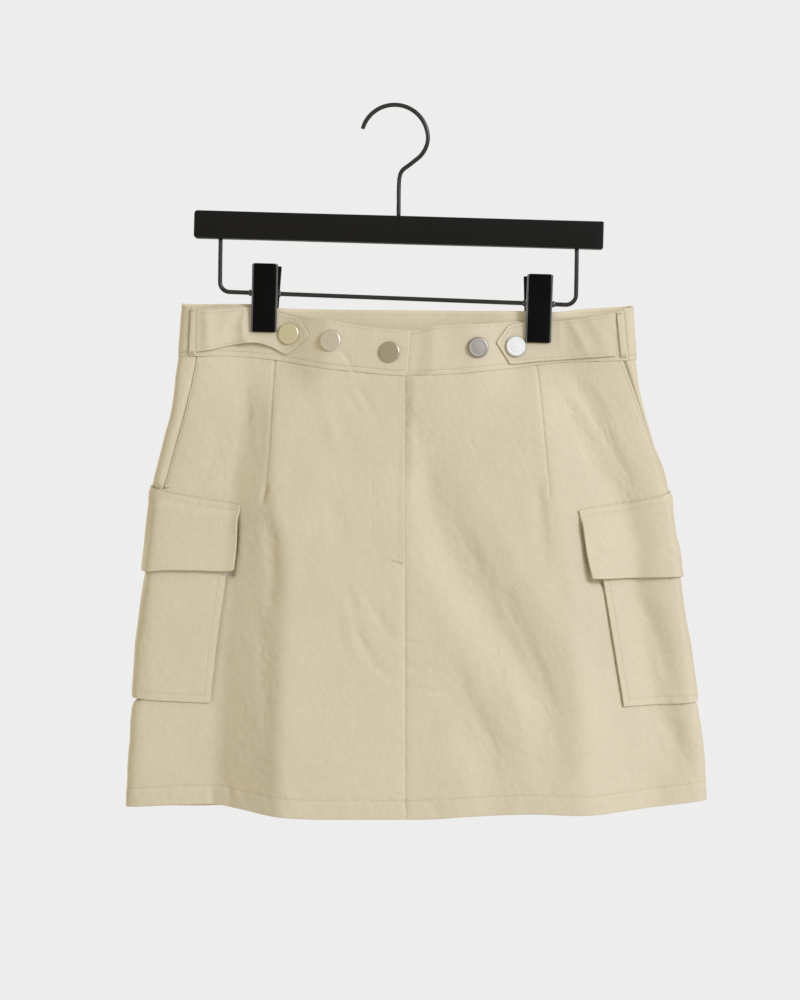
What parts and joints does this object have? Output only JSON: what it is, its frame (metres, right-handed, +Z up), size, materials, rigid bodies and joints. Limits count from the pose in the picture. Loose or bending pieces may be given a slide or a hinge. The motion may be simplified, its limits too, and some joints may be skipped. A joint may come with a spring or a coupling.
{
  "type": "cargo skirt on a clip hanger",
  "caption": "A-line cargo mini skirt with flap pockets, fly front and snap-tab waistband, hung by its waistband from a black trouser hanger with clips",
  "frame": {"origin": "the inside top of the hanger's hook, where the rod or hook that holds it bears", "axes": "+Z up; +Y to the back of the skirt, so the front faces -Y; +X to the viewer's right, the wearer's left"},
  "size_m": [0.4643, 0.077, 0.5692],
  "materials": {
    "cloth": "washed matt nylon-cotton weave, beige, finely crinkled",
    "zip_tape": "matt woven tape",
    "snap_metal": "low domed snap caps, antique nickel, satin",
    "black_plastic": "smooth semi-matt black",
    "black_wire": "black coated steel wire, satin",
    "clip_steel": "plain zinc-plated spring steel"
  },
  "bodies": {
    "root": {"front_left": "cloth", "front_right": "cloth", "back": "cloth", "side_piece_left": "cloth", "side_piece_right": "cloth", "waistband_front_left": "cloth", "waistband_front_right": "cloth", "waistband_back": "cloth", "fly_underlap": "cloth", "cargo_pocket_left": "cloth", "cargo_pocket_right": "cloth", "pocket_flap_left": "cloth", "pocket_flap_right": "cloth", "waist_tab_left": "cloth", "waist_tab_right": "cloth", "waist_loop_left": "cloth", "waist_loop_right": "cloth", "fly_zip": "zip_tape", "snap_tab_left": "snap_metal", "snap_spare_left": "snap_metal", "snap_front": "snap_metal", "snap_spare_right": "snap_metal", "snap_tab_right": "snap_metal", "hanger_bar": "black_plastic", "clip_left_front": "black_plastic", "clip_left_back": "black_plastic", "clip_right_front": "black_plastic", "clip_right_back": "black_plastic", "hanger_hook": "black_wire", "hanger_rail": "black_wire", "hanger_upright_left": "black_wire", "hanger_upright_right": "black_wire", "clip_left_sleeve": "clip_steel", "clip_right_sleeve": "clip_steel"}
  },
  "joints": []
}
